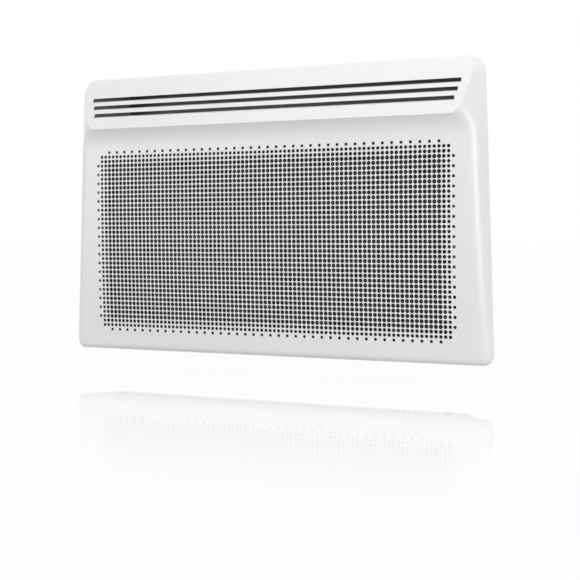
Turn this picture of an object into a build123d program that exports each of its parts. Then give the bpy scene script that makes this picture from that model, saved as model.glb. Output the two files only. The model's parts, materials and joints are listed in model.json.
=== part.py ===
from build123d import *
import os
from math import cos, radians, sin, sqrt, tan

# Wall panel convector heater: a perforated steel front with a sloping, louvred visor over a
# flat rear case, hung on a rail that is screwed to the wall.  An infrared panel behind the
# perforation and an extruded convection element make the heat; the controls are on the
# right flank of the rear case.
#
# Frame: the wall is the plane Y = 0, the room is towards -Y, Z is up and X is to the right
# for someone who faces the heater.  The origin is the middle of the rail's four wall screws.

# ---- driving dimensions, mm ----------------------------------------------------------
PITCH = 6.5              # square pitch of the perforation
COLUMNS = 83             # full columns of holes
ROWS = 39                # full rows of holes
HEIGHT = 400.0           # front panel, top to bottom
HALF_BOTTOM = 322.0      # half width of the panel's rear edge at the bottom
HALF_TOP = 310.8         # the same at the top
BOTTOM = -310.0          # lower edge, below the rail's screws
TOP = BOTTOM + HEIGHT
SHEET = 1.2              # front panel sheet
CASE_SHEET = 1.0         # rear case sheet

# ---- front panel: side profile -------------------------------------------------------
PANEL_BACK = -81.4       # rear edge of the panel
FACE_Y = -100.5          # the upright top stretch of the perforated face
FACE_RADIUS = 3870.0     # the face curves back below that stretch
FACE_BANDS = 3           # flat bands that the curve is drawn with, 0.3 mm off the arc
FIELD_Z = BOTTOM + 159.6             # middle of the perforated field
ARC_TOP = FIELD_Z + (ROWS - 1) / 2 * PITCH       # the arc starts at the top row
FACE_TOP = FIELD_Z + (ROWS + 2) / 2 * PITCH      # the first band starts above the ring
LIP_Y = -112.5           # visor lip, the foremost line of the heater
LIP_Z = BOTTOM + 323.5
COVE_HEIGHT = 26.0       # the hollow under the visor lip
VISOR_LEAN = 17.2        # degrees, visor from upright
TOP_BEND = 7.0
BOTTOM_BEND = 7.5
SIDE_SLOPE = 0.95        # side bevel: inward for each mm forward
SIDE_BEND = 12.0         # soft bend between the face and the bevel
SIDE_BEND_INNER = 4.2    # the same bend on the inner side, as one flat
CORNER_TOP = 23.0
CORNER_BOTTOM = 16.0

# ---- openings in the front panel -----------------------------------------------------
HOLE = 5.1               # square opening with the area of the 5.75 mm round hole
HOLE_STEP = 0.5          # each of the two outermost rings is this much smaller
RING_HOLE = 3.75         # sparse ring of holes round the field
WEB_SHARE = 0.375        # share of the sheet's thickness in each set of webs
LOUVRE_Z = (BOTTOM + 367.5, BOTTOM + 355.9, BOTTOM + 344.1)
LOUVRE_HALF = (283.0, 279.4, 275.9)
LOUVRE_SIZE = 6.0
LOUVRE_LIP = 4.0

# ---- rear case -----------------------------------------------------------------------
CASE_HALF = 298.5        # at the front panel
FLANK_SLOPE = 0.55       # how far a flank runs inwards for each mm towards the wall
CASE_BACK = -24.0
CASE_INNER = CASE_BACK - CASE_SHEET  # inner side of the back wall
CASE_TOP = TOP - 14.0
CASE_CORNER = 12.0
CASE_UNDERCUT = 16.0     # flat bend along the lower rear edge
RIM = 7.0                # flange that the front panel is screwed to
RIM_SCREW = 1.5          # shank radius of the rim's screws
RIM_SCREW_HEAD = 3.2
RIM_SCREW_HEIGHT = 2.0   # of the head
RIM_SCREW_LENGTH = 5.0   # into the panel
RIM_SCREW_RISE = (45.0, 190.0, 335.0)  # at the sides, above the lower edge
RIM_SCREW_X = 150.0      # along the top
INTAKE_PITCH = 8.0
INTAKE_COLUMNS = 60
INTAKE_WIDTH = 4.0
INTAKE_FRONT = -79.0
INTAKE_STRIPS = (-64.0, -47.0)
INTAKE_RISE = 6.0        # the slots end on the flat bend of the rear edge
FOOT_X = 253.5           # sockets for the floor feet
FOOT_Y = (-74.0, -44.0)
FOOT_WIDTH = 12.5
FOOT_DEPTH = 30.0
FOOT_SHEET = 1.2
SPACER_RADIUS = 9.0
SPACER_X = 200.0
SPACER_RISE = 40.0
SPACER_GAP = 0.3         # from the wall, with the heater hung

# ---- wall rail -----------------------------------------------------------------------
RAIL_HALF = 170.0
RAIL_HEIGHT = 60.0
RAIL_SHEET = 2.0
FLANGE = 12.0            # depth of the rail's upper and lower flange
SCREW_X = 120.0
SCREW_Z = 15.0
WALL_SCREW = 5.5
EAR_HALF = 25.0          # half height of the ears that carry the hooks
EAR_DEPTH = 22.0
EAR_CORNER = 4.0         # cut corners of the ear and of the hook's tip
NOTCH_Z = -3.0           # floor of the hook's notch, where the case rests
NOTCH_WIDTH = 4.6
HOOK_TIP = 12.0          # height of the tip above the notch
HOOK_NECK = 12.0         # height of the neck below it
HOOK_REACH = 7.0         # into the case
HOOK_LEAD = 2.0          # cut inner corner of the tip, which leads the case in
HOOK_HEEL = 3.0          # cut lower corner of the neck
HOOK_SLOT = (6.0, 27.0)  # the case's slot for a hook, width and height

# ---- heating pieces ------------------------------------------------------------------
IR_Y = -84.0
IR_HALF = 264.0
IR_SHEET = 2.0
IR_RETURN = 6.0
IR_BOTTOM = BOTTOM + 26.0
IR_TOP = BOTTOM + 293.0
INSULATOR_RADIUS = 5.0
INSULATOR_INSET = 25.0   # from the panel's upper and lower edge
END_X = 236.0            # end plates
END_SHEET = 1.2
END_FRONT = -78.0
END_INSET = 8.0          # from the infrared panel's upper and lower edge
END_FLANGES = (20.0, 14.0)           # front and back
ELEMENT_Y = -53.0
ELEMENT_Z = BOTTOM + 46.0
ELEMENT_HALF = 226.0
HUB = 7.0
ARM = 24.0
ARM_WALL = 2.0
FINS = ((13.5, 10.0), (21.0, 16.0))  # each cross fin's place on its arm, and its width
FIN_WALL = 1.4
ROD = 4.0
ROD_HALF = END_X + 10.0
PIN = 1.2
PIN_LENGTH = 10.0
BUSH = 8.0
BUSH_HEAD = 11.0
SHIELD_Y = -31.0
SHIELD_HALF = 222.0
SHIELD_SHEET = 1.0
CUTOUT_X = 60.0
CUTOUT_Z = ELEMENT_Z + 60.0
CUTOUT_RADIUS = 8.0
CUTOUT_DEPTH = 9.0
CUTOUT_PLATE = (28.0, 1.0, 8.0)      # its mounting plate: width, thickness and height
TAB = (0.8, 8.0, 6.0)    # the cut-out's flat tabs
TAB_SPACING = 9.0
FUSE_Z = ELEMENT_Z + 43.0
FUSE = 2.0
FUSE_SPAN = (-66.0, -40.0)
FUSE_CLIP = 6.0
FUSE_CLIP_SPAN = (-62.0, -44.0)

# ---- control unit, which stands out of the right flank -------------------------------
UNIT_FACE = 294.5        # rim of its housing, under the bezel
UNIT_FLOOR = UNIT_FACE - 34.0
UNIT_Y = -53.0           # middle of the unit, front to back
UNIT_TOP = -20.0
UNIT_BOTTOM = -200.0
UNIT_DEPTH = 42.0
UNIT_WALL = 2.0
POST = 4.4               # square posts under the boards
POST_HALF_Y = 12.5
BOARD = (1.6, 30.0)      # circuit boards, thickness and width
DISPLAY_BOARD_X = UNIT_FACE - 12.0
DISPLAY_BOARD_Z = (-114.0, -26.0)
POWER_BOARD_X = UNIT_FACE - 29.0
POWER_BOARD_Z = (-195.0, -120.0)
BEZEL = 2.5
BEZEL_CORNER = 6.0
BEZEL_FACE = UNIT_FACE + BEZEL
BEZEL_SCREW = 2.4
BEZEL_SCREW_HEIGHT = 1.2
BEZEL_SCREW_INSET = 6.0
WINDOW_Z = -40.0
WINDOW = (24.0, 20.0)
DISPLAY = (20.0, 16.0)
DISPLAY_FRONT = UNIT_FACE - 2.0
BUTTON_Z = tuple(-62.0 - 11.0 * row for row in range(5))
BUTTON_NAMES = ("power", "mode", "plus", "minus", "timer")
BUTTON_SIZE = (12.0, 7.0)
BUTTON_PROUD = 1.6
BUTTON_STEM = 4.0
BUTTON_ROOT = 2.0        # how far the cap reaches below the housing's rim
BUTTON_CHAMFER = 0.6
BUTTON_FLANGE = (2.0, 1.8, 1.8)      # wider and taller than the cap, and thickness
BUTTON_PLAY = 0.4        # between the flange and the bezel
BUTTON_TRAVEL = 1.3      # free travel over the key switch
KEY_SWITCH = (6.0, 4.4)  # width and height over the board
BUTTON_GAP = 0.3
ROCKER_Z = -150.0
ROCKER_AXIS_X = UNIT_FACE - 1.0
ROCKER_SWING = 18.0      # degrees from off, upper half in, to on
ROCKER_SIZE = (11.6, 17.2)
ROCKER_PIN = 1.2
ROCKER_BODY = (15.0, 22.4)
ROCKER_REAR = UNIT_FACE - 18.0
ROCKER_WELL = UNIT_FACE - 8.0
ROCKER_FLANGE = (18.0, 26.0, 1.2)
ROCKER_PLAY = (0.4, 1.2) # across, and above and below
ROCKER_BEARING = 0.5     # wall that is left over each bearing
PIN_PLAY = (0.05, 0.2)   # round the pin and at its ends
ROCKER_PROUD = 6.5       # the rocker's front before its axis
ROCKER_DISH = 2.0
ROCKER_CORE = (4.0, 3.0) # depth behind the axis, and half height there
GLAND_X = 271.5
GLAND_Y = -51.0
GLAND_RADIUS = 6.5
GLAND_NUT = 8.5
GLAND_HEIGHT = 13.0
CORD_RADIUS = 3.6
SENSOR_X = 281.0
SENSOR_Y = -70.0
SENSOR = 2.4
SENSOR_RISE = (4.0, 30.0)
SENSOR_CLIP = (10.0, 12.0)           # width and height
TERMINAL_RISE = (70.0, 86.0)
TERMINAL_DEPTH = 14.0
TERMINAL_PITCH = 9.0
TERMINAL_HOLE = 4.0
TERMINAL_HOLE_X = 8.0    # from the end plate
EARTH_X = 258.0
EARTH_RISE = 80.0
EARTH_NUT = 4.0
EARTH_LENGTH = 10.0
EARTH_NUT_HEIGHT = 3.2

PAST = 3.0               # how far a cutter runs past what it cuts

os.makedirs("parts", exist_ok=True)


def block(x, y, z):
    """A box from three (low, high) pairs."""
    size = [span[1] - span[0] for span in (x, y, z)]
    middle = [(span[0] + span[1]) / 2 for span in (x, y, z)]
    return Pos(*middle) * Box(*size)


def rod_x(radius, x0, x1, y, z):
    return Pos((x0 + x1) / 2, y, z) * Rot(0, 90, 0) * Cylinder(radius, x1 - x0)


def rod_y(radius, y0, y1, x, z):
    return Pos(x, (y0 + y1) / 2, z) * Rot(90, 0, 0) * Cylinder(radius, y1 - y0)


def rod_z(radius, z0, z1, x, y):
    return Pos(x, y, (z0 + z1) / 2) * Cylinder(radius, z1 - z0)


def prism_x(radius, sides, x0, x1, y, z):
    """Prism along X with the given number of sides, for small hexagons and octagons."""
    outline = Pos(y, z) * RegularPolygon(radius, sides)
    return extrude(Plane.YZ.offset(x0) * outline, amount=x1 - x0)


def prism_y(radius, sides, y0, y1, x, z):
    outline = Pos(x, z) * RegularPolygon(radius, sides)
    return extrude(Plane.XZ.offset(-y0) * outline, amount=y0 - y1)


def mirrored(shape):
    return [shape, shape.mirror(Plane.YZ)]


def save(name, solids):
    """Write one node, a solid or a group of separate solids."""
    group = solids if isinstance(solids, list) else [solids]
    bodies = [solid for shape in group for solid in shape.solids()]
    whole = bodies[0] if len(bodies) == 1 else Compound(children=bodies)
    whole.label = name
    export_step(whole, "parts/" + name + ".step")


# ---- front panel ---------------------------------------------------------------------
def face_y(z):
    """Front of the face's arc at a height, level with the upright stretch above it."""
    drop = max(ARC_TOP - z, 0)
    return FACE_Y + FACE_RADIUS - sqrt(FACE_RADIUS ** 2 - drop ** 2)


def face_line(low, high, depth):
    """Points down the face, on its arc, from one height to another, behind its front."""
    inner = [BOTTOM + band * (FACE_TOP - BOTTOM) / FACE_BANDS for band in range(FACE_BANDS + 1)]
    heights = [high] + [z for z in reversed(inner) if low < z < high] + [low]
    return [(chord_y(z) + depth, z) for z in heights]


def chord_y(z):
    """Front of the flat band at a height."""
    if z >= FACE_TOP:
        return FACE_Y
    band = (FACE_TOP - BOTTOM) / FACE_BANDS
    low = BOTTOM + band * ((z - BOTTOM) // band)
    share = (z - low) / band
    return face_y(low) * (1 - share) + face_y(low + band) * share


def visor_y(z):
    return LIP_Y + (z - LIP_Z) * tan(radians(VISOR_LEAN))


def side_profile(inset, rounded):
    """Outline of the panel seen from the side, moved inwards by the sheet."""
    head = (visor_y(TOP), TOP)
    upright = Line((FACE_Y, FACE_TOP), (FACE_Y, LIP_Z - COVE_HEIGHT))
    face = face_line(BOTTOM, FACE_TOP, 0)
    path = Polyline((PANEL_BACK, TOP), (PANEL_BACK, BOTTOM), *reversed(face))
    path += upright + TangentArc(upright @ 1, (LIP_Y, LIP_Z), tangent=upright % 1)
    path += Polyline((LIP_Y, LIP_Z), head, (PANEL_BACK, TOP))
    outline = make_face(path.edges())
    for level, radius in ((TOP, TOP_BEND), (BOTTOM, BOTTOM_BEND)) if rounded else ():
        corner = [v for v in outline.vertices() if abs(v.Y - level) < 1 and v.X < PANEL_BACK - 1]
        outline = fillet(corner, radius)
    if inset:
        outline = offset(outline, amount=-inset)
    return Plane.YZ * outline


def bevel_cutter(side, inset):
    """Everything outside one side bevel, a plane that leans with the tapering edge."""
    along = Vector(-side * (HALF_BOTTOM - HALF_TOP) / HEIGHT, 0, 1).normalized()
    forward = Vector(-side * SIDE_SLOPE, -1, 0).normalized()
    outward = along.cross(forward) * side
    corner = Vector(side * HALF_BOTTOM, PANEL_BACK, BOTTOM) - outward * inset
    reach = 2 * HEIGHT
    bevel = Plane(origin=corner, x_dir=along, z_dir=outward)
    return bevel * Pos(0, 0, reach / 8) * Box(2 * reach, reach, reach / 4)


def rounded_outline(inset):
    """Trapezoid that the panel fills when seen from the front."""
    low = HALF_BOTTOM - inset
    high = HALF_TOP - inset
    outline = Polygon((-low, BOTTOM + inset), (low, BOTTOM + inset), (high, TOP - inset),
                      (-high, TOP - inset), align=None)
    outline = fillet(outline.vertices().group_by(Axis.Y)[-1], CORNER_TOP - inset)
    outline = fillet(outline.vertices().group_by(Axis.Y)[0], CORNER_BOTTOM - inset)
    return Plane.XZ * outline


def is_side_bend(edge):
    """Edges where the face and the cove meet the side bevels, below the visor."""
    middle = edge @ 0.5
    outer = abs(middle.X) > HALF_TOP - 30
    forward = middle.Y < face_y(BOTTOM) + 2
    upright = abs((edge @ 1).Z - (edge @ 0).Z) > 10
    return outer and forward and upright and middle.Z < LIP_Z - 5


def panel_form(inset):
    """Solid form of the panel: side profile, side bevels, soft bends and round corners."""
    form = extrude(side_profile(inset, False), amount=HALF_BOTTOM + 10, both=True)
    for side in (-1, 1):
        form -= bevel_cutter(side, inset)
    bends = [edge for edge in form.edges() if is_side_bend(edge)]
    form = chamfer(bends, SIDE_BEND_INNER) if inset else fillet(bends, SIDE_BEND)
    form &= extrude(side_profile(inset, True), amount=HALF_BOTTOM + 20, both=True)
    return form & extrude(rounded_outline(inset), amount=-2 * LIP_Y)


def hole_size(index, count):
    """Openings grow from the sparse ring over the two outermost rings of the field."""
    ring = min(index, count - 1 - index)
    return HOLE - HOLE_STEP * max(2 - ring, 0) if ring >= 0 else RING_HOLE


def field_openings():
    """Cutters for the field and its sparse ring: level slots through the front of the sheet,
    upright slots through its back, and a thin gap between the two layers.  Each crossing is
    one hole.  Every second slot runs one pitch further, to cross the slot that makes the
    ring, which so has a hole at every second place."""
    web = SHEET * WEB_SHARE
    half_x = (COLUMNS + 1) / 2 * PITCH
    half_z = (ROWS + 1) / 2 * PITCH
    level = [level_slot(row) for row in range(-1, ROWS + 1)]
    upright = [upright_slot(column) for column in range(-1, COLUMNS + 1)]
    front = face_layer(-2.0, web, half_z + RING_HOLE, half_x + RING_HOLE)
    back = face_layer(SHEET - web, SHEET + 2.0, half_z + RING_HOLE, half_x + RING_HOLE)
    gap = face_layer(web, SHEET - web, half_z + RING_HOLE, half_x + RING_HOLE)
    return [front & Compound(children=level), back & Compound(children=upright), gap]


def face_layer(depth0, depth1, half_z, half_x):
    """The part of the perforated face between two depths behind its front."""
    low = FIELD_Z - half_z
    high = FIELD_Z + half_z
    outline = face_line(low, high, depth0) + face_line(low, high, depth1)[::-1]
    return extrude(Plane.YZ * Polygon(*outline, align=None), amount=half_x, both=True)


def slot_reach(index, count, other_count):
    """Half length of a slot.  Every second one inside the outermost ring runs on to cross
    the sparse ring's slot, which itself ends with the last hole that it makes."""
    if index < 0 or index == count:
        return ((other_count - 1) / 2 - 2) * PITCH + RING_HOLE / 2
    if index % 2 == 0 and 0 < index < count - 1:
        return (other_count + 1) / 2 * PITCH + RING_HOLE / 2
    return (other_count - 1) / 2 * PITCH + hole_size(0, other_count) / 2


def level_slot(row):
    z = FIELD_Z + ((ROWS - 1) / 2 - row) * PITCH
    half = hole_size(row, ROWS) / 2
    reach = slot_reach(row, ROWS, COLUMNS)
    return block((-reach, reach), (LIP_Y, PANEL_BACK), (z - half, z + half))


def upright_slot(column):
    x = (column - (COLUMNS - 1) / 2) * PITCH
    half = hole_size(column, COLUMNS) / 2
    reach = slot_reach(column, COLUMNS, ROWS)
    return block((x - half, x + half), (LIP_Y, PANEL_BACK), (FIELD_Z - reach, FIELD_Z + reach))


def louvre(z, half_x):
    """One long slot through the visor, square to its slope."""
    plane = Plane(origin=(0, visor_y(z), z), x_dir=(1, 0, 0),
                  z_dir=(0, -cos(radians(VISOR_LEAN)), sin(radians(VISOR_LEAN))))
    return extrude(plane * Rectangle(2 * half_x, LOUVRE_SIZE), amount=4 * SHEET, both=True)


def louvre_lip(z, half_x):
    """Lower edge of a louvre, turned inwards to throw the warm air forward."""
    z_edge = z - LOUVRE_SIZE / 2
    y_edge = visor_y(z_edge) + SHEET / 2
    return block((-half_x, half_x), (y_edge, y_edge + LOUVRE_LIP), (z_edge - SHEET, z_edge))


def front_panel():
    panel = panel_form(0) - panel_form(SHEET)
    opening = Pos(0, PANEL_BACK - SHEET / 2, 0) * case_block(CASE_HALF + 1, 2 * SHEET, -CASE_SHEET)
    panel -= opening & block((-HALF_BOTTOM, HALF_BOTTOM), (LIP_Y, 0), (BOTTOM + SHEET, TOP))
    for z, half_x in zip(LOUVRE_Z, LOUVRE_HALF):
        panel -= louvre(z, half_x)
        panel += louvre_lip(z, half_x)
    for cutter in field_openings():
        panel -= cutter
    panel -= Compound(children=rim_screw_holes())
    return panel


# ---- rear case -----------------------------------------------------------------------
def case_block(half_x, depth, raise_top):
    """Plate in the case's outline, centred on Y = 0, with its two round top corners."""
    outline = Polygon((-half_x, BOTTOM), (half_x, BOTTOM), (half_x, CASE_TOP + raise_top),
                      (-half_x, CASE_TOP + raise_top), align=None)
    outline = fillet(outline.vertices().group_by(Axis.Y)[-1], CASE_CORNER + half_x - CASE_HALF)
    return extrude(Plane.XZ * outline, amount=depth / 2, both=True)


def rim_screw_places():
    side_x = CASE_HALF + RIM * 0.6
    top_z = CASE_TOP + RIM / 2
    sides = [(side * side_x, BOTTOM + rise) for rise in RIM_SCREW_RISE for side in (-1, 1)]
    return sides + [(-RIM_SCREW_X, top_z), (RIM_SCREW_X, top_z)]


def rim_screw_holes():
    return [prism_y(RIM_SCREW, 6, PANEL_BACK - 2 * PAST, PANEL_BACK + CASE_SHEET, x, z)
            for x, z in rim_screw_places()]


def intake_slots():
    """Long slots from front to back through the underside and its rear bend."""
    slots = []
    for column in range(INTAKE_COLUMNS):
        x = (column - (INTAKE_COLUMNS - 1) / 2) * INTAKE_PITCH
        across = (x - INTAKE_WIDTH / 2, x + INTAKE_WIDTH / 2)
        level = (BOTTOM - PAST, BOTTOM + INTAKE_RISE)
        slots.append(block(across, (INTAKE_FRONT, CASE_BACK), level))
    return slots


def intake_strips():
    """Cross strips that part the slots into three rows."""
    half = INTAKE_COLUMNS * INTAKE_PITCH / 2
    level = (BOTTOM + CASE_SHEET, BOTTOM + 2 * CASE_SHEET)
    return [block((-half, half), (y - INTAKE_WIDTH / 2, y + INTAKE_WIDTH / 2), level)
            for y in INTAKE_STRIPS]


def case_openings():
    """Foot slots, hook slots, the controls' opening, the gland's hole and the screw holes."""
    cuts = rim_screw_holes()
    for side in (-1, 1):
        foot = (side * FOOT_X - FOOT_WIDTH / 2, side * FOOT_X + FOOT_WIDTH / 2)
        cuts.append(block(foot, FOOT_Y, (BOTTOM - PAST, BOTTOM + PAST)))
        hook_x = side * (RAIL_HALF - RAIL_SHEET / 2)
        hook = (hook_x - HOOK_SLOT[0] / 2, hook_x + HOOK_SLOT[0] / 2)
        cuts.append(block(hook, (CASE_BACK - PAST, CASE_BACK + PAST),
                          (NOTCH_Z - HOOK_SLOT[1], NOTCH_Z)))
    cuts.append(unit_block((UNIT_FLOOR, CASE_HALF), UNIT_DEPTH, (UNIT_BOTTOM, UNIT_TOP)))
    cuts.append(Pos(0, 0, BOTTOM - 1) * extrude(gland_outline(), amount=PAST + 1))
    return cuts


def flank_wedge():
    """Everything that lies outside the right flank, which slants towards the wall."""
    rear = CASE_BACK + PAST
    inner = CASE_HALF - FLANK_SLOPE * (rear - PANEL_BACK)
    outer = CASE_HALF + PAST
    plan = Polygon((CASE_HALF, PANEL_BACK), (outer, PANEL_BACK), (outer, rear), (inner, rear),
                   align=None)
    return Pos(0, 0, BOTTOM - PAST) * extrude(plan, amount=HEIGHT)


def rear_case():
    depth = CASE_BACK - PANEL_BACK
    shell = Pos(0, (CASE_BACK + PANEL_BACK) / 2, 0) * case_block(CASE_HALF, depth, 0)
    rear = shell.faces().sort_by(Axis.Y)[-1]
    shell = chamfer(rear.edges().sort_by(Axis.Z)[0], CASE_UNDERCUT)
    shell -= Compound(children=mirrored(flank_wedge()))
    case = offset(shell, amount=-CASE_SHEET, openings=shell.faces().sort_by(Axis.Y)[0])
    rim = Pos(0, PANEL_BACK + CASE_SHEET / 2, 0) * case_block(CASE_HALF + RIM, CASE_SHEET, RIM)
    middle = case_block(CASE_HALF - CASE_SHEET, 4 * CASE_SHEET, -CASE_SHEET)
    case += rim - Pos(0, PANEL_BACK, 0) * middle
    case -= Compound(children=intake_slots())
    for strip in intake_strips():
        case += strip
    return case - Compound(children=case_openings())


def case_screws():
    """Hexagon-headed screws through the case's rim into the panel's rear return."""
    screws = []
    seat = PANEL_BACK + CASE_SHEET
    tip = PANEL_BACK - RIM_SCREW_LENGTH
    for x, z in rim_screw_places():
        head = prism_y(RIM_SCREW_HEAD, 6, seat, seat + RIM_SCREW_HEIGHT, x, z)
        screws.append(head + prism_y(RIM_SCREW, 6, tip, seat + RIM_SCREW_HEIGHT / 2, x, z))
    return screws


def foot_channel(side):
    """Folded channel over a foot slot, which grips the stem of a floor foot."""
    low = side * FOOT_X - FOOT_WIDTH / 2
    high = side * FOOT_X + FOOT_WIDTH / 2
    floor = BOTTOM + CASE_SHEET
    outer = block((low - FOOT_SHEET, high + FOOT_SHEET),
                  (FOOT_Y[0] - FOOT_SHEET, FOOT_Y[1] + FOOT_SHEET), (floor, floor + FOOT_DEPTH))
    return outer - block((low, high), FOOT_Y, (BOTTOM, floor + FOOT_DEPTH - FOOT_SHEET))


def rear_spacers():
    """Buffers that hold the lower edge off the wall."""
    z = BOTTOM + SPACER_RISE
    return mirrored(prism_y(SPACER_RADIUS, 8, CASE_BACK, -SPACER_GAP, SPACER_X, z))


# ---- wall rail -----------------------------------------------------------------------
def hook_outline():
    """Ear of the rail in side view: a neck through the case and a tip turned up."""
    low = NOTCH_Z - HOOK_NECK
    high = NOTCH_Z + HOOK_TIP
    rear = -EAR_DEPTH
    notch = rear - NOTCH_WIDTH
    tip = CASE_BACK - HOOK_REACH
    corner = rear + EAR_CORNER
    return [(0, -EAR_HALF), (0, EAR_HALF), (corner, EAR_HALF), (rear, EAR_HALF - EAR_CORNER),
            (rear, NOTCH_Z), (notch, NOTCH_Z), (notch, high - HOOK_LEAD), (notch - HOOK_LEAD, high),
            (tip, high - EAR_CORNER), (tip, low + HOOK_HEEL), (tip + HOOK_HEEL, low),
            (rear, low), (rear, EAR_CORNER - EAR_HALF), (corner, -EAR_HALF)]


def wall_rail():
    half = RAIL_HEIGHT / 2
    rail = block((-RAIL_HALF, RAIL_HALF), (-RAIL_SHEET, 0), (-half, half))
    for level in (half - RAIL_SHEET, -half):
        rail += block((FLANGE - RAIL_HALF, RAIL_HALF - FLANGE), (-FLANGE, 0),
                      (level, level + RAIL_SHEET))
    ear = Plane.YZ * Polygon(*hook_outline(), align=None)
    for side in (-1, 1):
        inner = min(side * RAIL_HALF, side * (RAIL_HALF - RAIL_SHEET))
        rail += Pos(inner, 0, 0) * extrude(ear, amount=RAIL_SHEET)
        for z in (-SCREW_Z, SCREW_Z):
            rail -= rod_y(WALL_SCREW / 2, -RAIL_SHEET - PAST, PAST, side * SCREW_X, z)
    return rail


# ---- heating pieces ------------------------------------------------------------------
def infrared_panel():
    """Heated plate with its edges folded back."""
    back = IR_Y + IR_SHEET
    tray = block((-IR_HALF, IR_HALF), (IR_Y, back + IR_RETURN), (IR_BOTTOM, IR_TOP))
    return tray - block((IR_SHEET - IR_HALF, IR_HALF - IR_SHEET), (back, back + IR_RETURN + PAST),
                        (IR_BOTTOM + IR_SHEET, IR_TOP - IR_SHEET))


def panel_insulators():
    """Ceramic stand-offs between the infrared panel and the end plates' front flanges."""
    heights = (IR_BOTTOM + INSULATOR_INSET, FIELD_Z, IR_TOP - INSULATOR_INSET)
    x = END_X + END_FLANGES[0] / 2
    row = [prism_y(INSULATOR_RADIUS, 8, IR_Y + IR_SHEET, END_FRONT, x, z) for z in heights]
    return [half for stand_off in row for half in mirrored(stand_off)]


def end_plate():
    """Right-hand bracket: carries the element's end and the infrared panel."""
    inner = END_X - END_SHEET / 2
    height = (IR_BOTTOM + END_INSET, IR_TOP - END_INSET)
    plate = block((inner, inner + END_SHEET), (END_FRONT, CASE_INNER), height)
    plate += block((inner, END_X + END_FLANGES[0]), (END_FRONT, END_FRONT + END_SHEET), height)
    plate += block((inner, END_X + END_FLANGES[1]), (CASE_INNER - END_SHEET, CASE_INNER), height)
    return plate - prism_x(BUSH, 8, inner - PAST, inner + END_SHEET + PAST, ELEMENT_Y, ELEMENT_Z)


def rod_bore():
    """Twelve flats that touch the heating rod all round."""
    return RegularPolygon(ROD, 12, major_radius=False)


def convection_element():
    """X-shaped extrusion: a hub with four arms, each with two cross fins."""
    limb = Pos(ARM / 2, 0) * Rectangle(ARM, ARM_WALL)
    for place, width in FINS:
        limb += Pos(place, 0) * Rectangle(FIN_WALL, width)
    section = RegularPolygon(HUB, 8)
    for quarter in range(4):
        section += Rot(0, 0, 45 + 90 * quarter) * limb
    section = Plane.YZ * (section - rod_bore())
    return Pos(0, ELEMENT_Y, ELEMENT_Z) * extrude(section, amount=ELEMENT_HALF, both=True)


def element_rod():
    """Sheathed heating rod through the extrusion, with a terminal pin at each end."""
    rod = rod_x(ROD, -ROD_HALF, ROD_HALF, ELEMENT_Y, ELEMENT_Z)
    pin = prism_x(PIN, 6, ROD_HALF - 1, ROD_HALF + PIN_LENGTH, ELEMENT_Y, ELEMENT_Z)
    return rod + pin + pin.mirror(Plane.YZ)


def element_bush():
    """Right-hand ceramic bush: octagonal, so it can't turn in the end plate."""
    inner = END_X - END_SHEET / 2
    bush = prism_x(BUSH, 8, inner - 1, END_X + 6, ELEMENT_Y, ELEMENT_Z)
    bush += prism_x(BUSH_HEAD, 8, inner - 4, inner, ELEMENT_Y, ELEMENT_Z)
    bore = Plane.YZ.offset(inner - 4 - PAST) * Pos(ELEMENT_Y, ELEMENT_Z) * rod_bore()
    return bush - extrude(bore, amount=20)


def heat_shield():
    """Reflector between the element and the back wall, on two folded feet."""
    low = BOTTOM + 22
    high = IR_TOP - 20
    shield = block((-SHIELD_HALF, SHIELD_HALF), (SHIELD_Y, SHIELD_Y + SHIELD_SHEET), (low, high))
    for edge in (-SHIELD_HALF, SHIELD_HALF):
        across = (edge - SHIELD_SHEET / 2, edge + SHIELD_SHEET / 2)
        shield += block(across, (SHIELD_Y, CASE_INNER), (low, high))
    return shield


def overheat_cutout():
    """Snap-disc cut-out on the shield, above the element."""
    front = SHIELD_Y - CUTOUT_DEPTH
    body = prism_y(CUTOUT_RADIUS, 12, front, SHIELD_Y, CUTOUT_X, CUTOUT_Z)
    width, thickness, height = CUTOUT_PLATE
    body += block((CUTOUT_X - width / 2, CUTOUT_X + width / 2), (SHIELD_Y - thickness, SHIELD_Y),
                  (CUTOUT_Z - height / 2, CUTOUT_Z + height / 2))
    for x in (CUTOUT_X - TAB_SPACING / 2, CUTOUT_X + TAB_SPACING / 2):
        body += block((x - TAB[0] / 2, x + TAB[0] / 2), (front - TAB[1], front),
                      (CUTOUT_Z - TAB[2] / 2, CUTOUT_Z + TAB[2] / 2))
    return body


def thermal_fuse():
    """One-shot fuse in its clip on the left end plate."""
    x = -(END_X + END_SHEET / 2)
    clip = block((x - FUSE_CLIP, x), FUSE_CLIP_SPAN, (FUSE_Z - FUSE_CLIP / 2, FUSE_Z + FUSE_CLIP / 2))
    return clip + prism_y(FUSE, 8, *FUSE_SPAN, x - FUSE_CLIP / 2, FUSE_Z)


# ---- control unit --------------------------------------------------------------------
def unit_block(x, width, z):
    """A box centred on the unit's middle, front to back."""
    return block(x, (UNIT_Y - width / 2, UNIT_Y + width / 2), z)


def unit_window(size, z):
    """A rectangle on the unit's face: width front to back, then height."""
    return Pos(UNIT_Y, z) * Rectangle(*size)


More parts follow.
